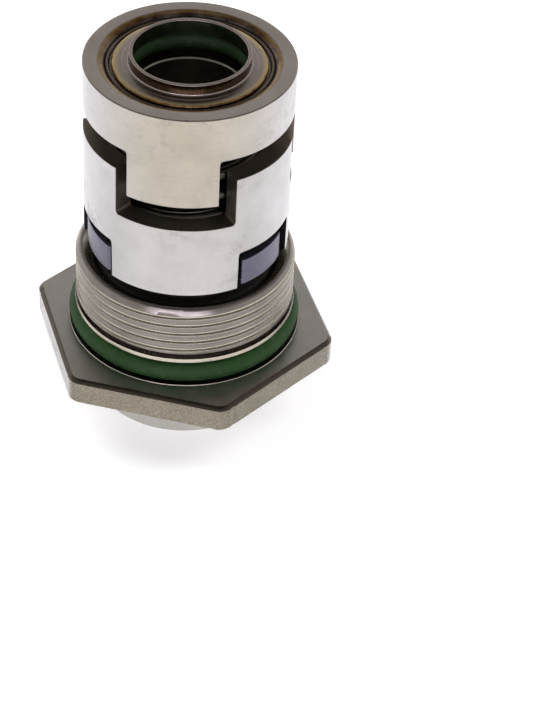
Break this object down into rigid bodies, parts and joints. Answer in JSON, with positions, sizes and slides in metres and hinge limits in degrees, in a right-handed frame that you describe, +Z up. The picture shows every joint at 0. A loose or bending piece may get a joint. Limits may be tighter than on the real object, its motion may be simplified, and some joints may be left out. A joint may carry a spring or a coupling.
{
  "type": "cartridge mechanical seal",
  "caption": "Cartridge shaft seal: sleeve with a spring-loaded crown drive, ceramic seal faces, a screw-in hexagon carrier with O-ring and a clamp collar with set screws.",
  "frame": {"origin": "middle of the clamp collar's lower face, on the shaft axis", "axes": "+Z up along the shaft axis, from the clamp collar to the cap ring; -Y through the middle of one drive lug of the cup"},
  "size_m": [0.0464, 0.043, 0.06],
  "materials": {
    "polished_stainless": "polished",
    "turned_stainless": "turned, satin",
    "spring_wire": "drawn wire, smooth",
    "silicon_carbide": "ground ceramic, satin",
    "green_fkm": "smooth rubber",
    "white_ptfe": "matte",
    "dark_steel": "blackened"
  },
  "bodies": {
    "sleeve": {"shaft_sleeve": "turned_stainless", "driver_cup": "polished_stainless", "cap_ring": "turned_stainless", "shaft_o_ring": "green_fkm", "upper_spring_washer": "turned_stainless", "spring": "spring_wire", "clamp_collar": "polished_stainless", "collar_snap_ring": "spring_wire"},
    "spring_follower": {"lower_spring_washer": "turned_stainless"},
    "seal_head": {"driver_ring": "polished_stainless", "rotating_seal_ring": "silicon_carbide", "ring_backup_washer": "white_ptfe", "ring_o_ring": "green_fkm"},
    "carrier": {"seal_carrier": "turned_stainless", "carrier_o_ring": "green_fkm", "stationary_seat": "silicon_carbide", "seat_o_ring": "green_fkm", "seat_pin": "turned_stainless", "seat_snap_ring": "spring_wire"},
    "screw_1": {"set_screw_1": "dark_steel"},
    "screw_2": {"set_screw_2": "dark_steel"},
    "screw_3": {"set_screw_3": "dark_steel"}
  },
  "joints": [
    {"name": "spring_travel", "type": "slide", "parent": "sleeve", "child": "spring_follower", "axis": [0, 0, 1], "range_m": [0, 0.0032], "stiffness_N_per_m": 2550, "springref_m": -0.006, "deforming": ["spring"]},
    {"name": "crown_lash", "type": "hinge", "parent": "spring_follower", "child": "seal_head", "pos_m": [0, 0, 0.0363], "axis": [0, 0, 1], "range_deg": [-9.8, 7.2]},
    {"name": "carrier_turn", "type": "hinge", "parent": "seal_head", "child": "carrier", "pos_m": [0, 0, 0.0127], "axis": [0, 0, 1], "continuous": true},
    {"name": "screw_travel_1", "type": "slide", "parent": "sleeve", "child": "screw_1", "axis": [-0.866, 0.5, 0], "range_m": [-0.0004, 0.0008]},
    {"name": "screw_travel_2", "type": "slide", "parent": "sleeve", "child": "screw_2", "axis": [0, -1, 0], "range_m": [-0.0004, 0.0008]},
    {"name": "screw_travel_3", "type": "slide", "parent": "sleeve", "child": "screw_3", "axis": [0.866, 0.5, 0], "range_m": [-0.0004, 0.0008]}
  ]
}
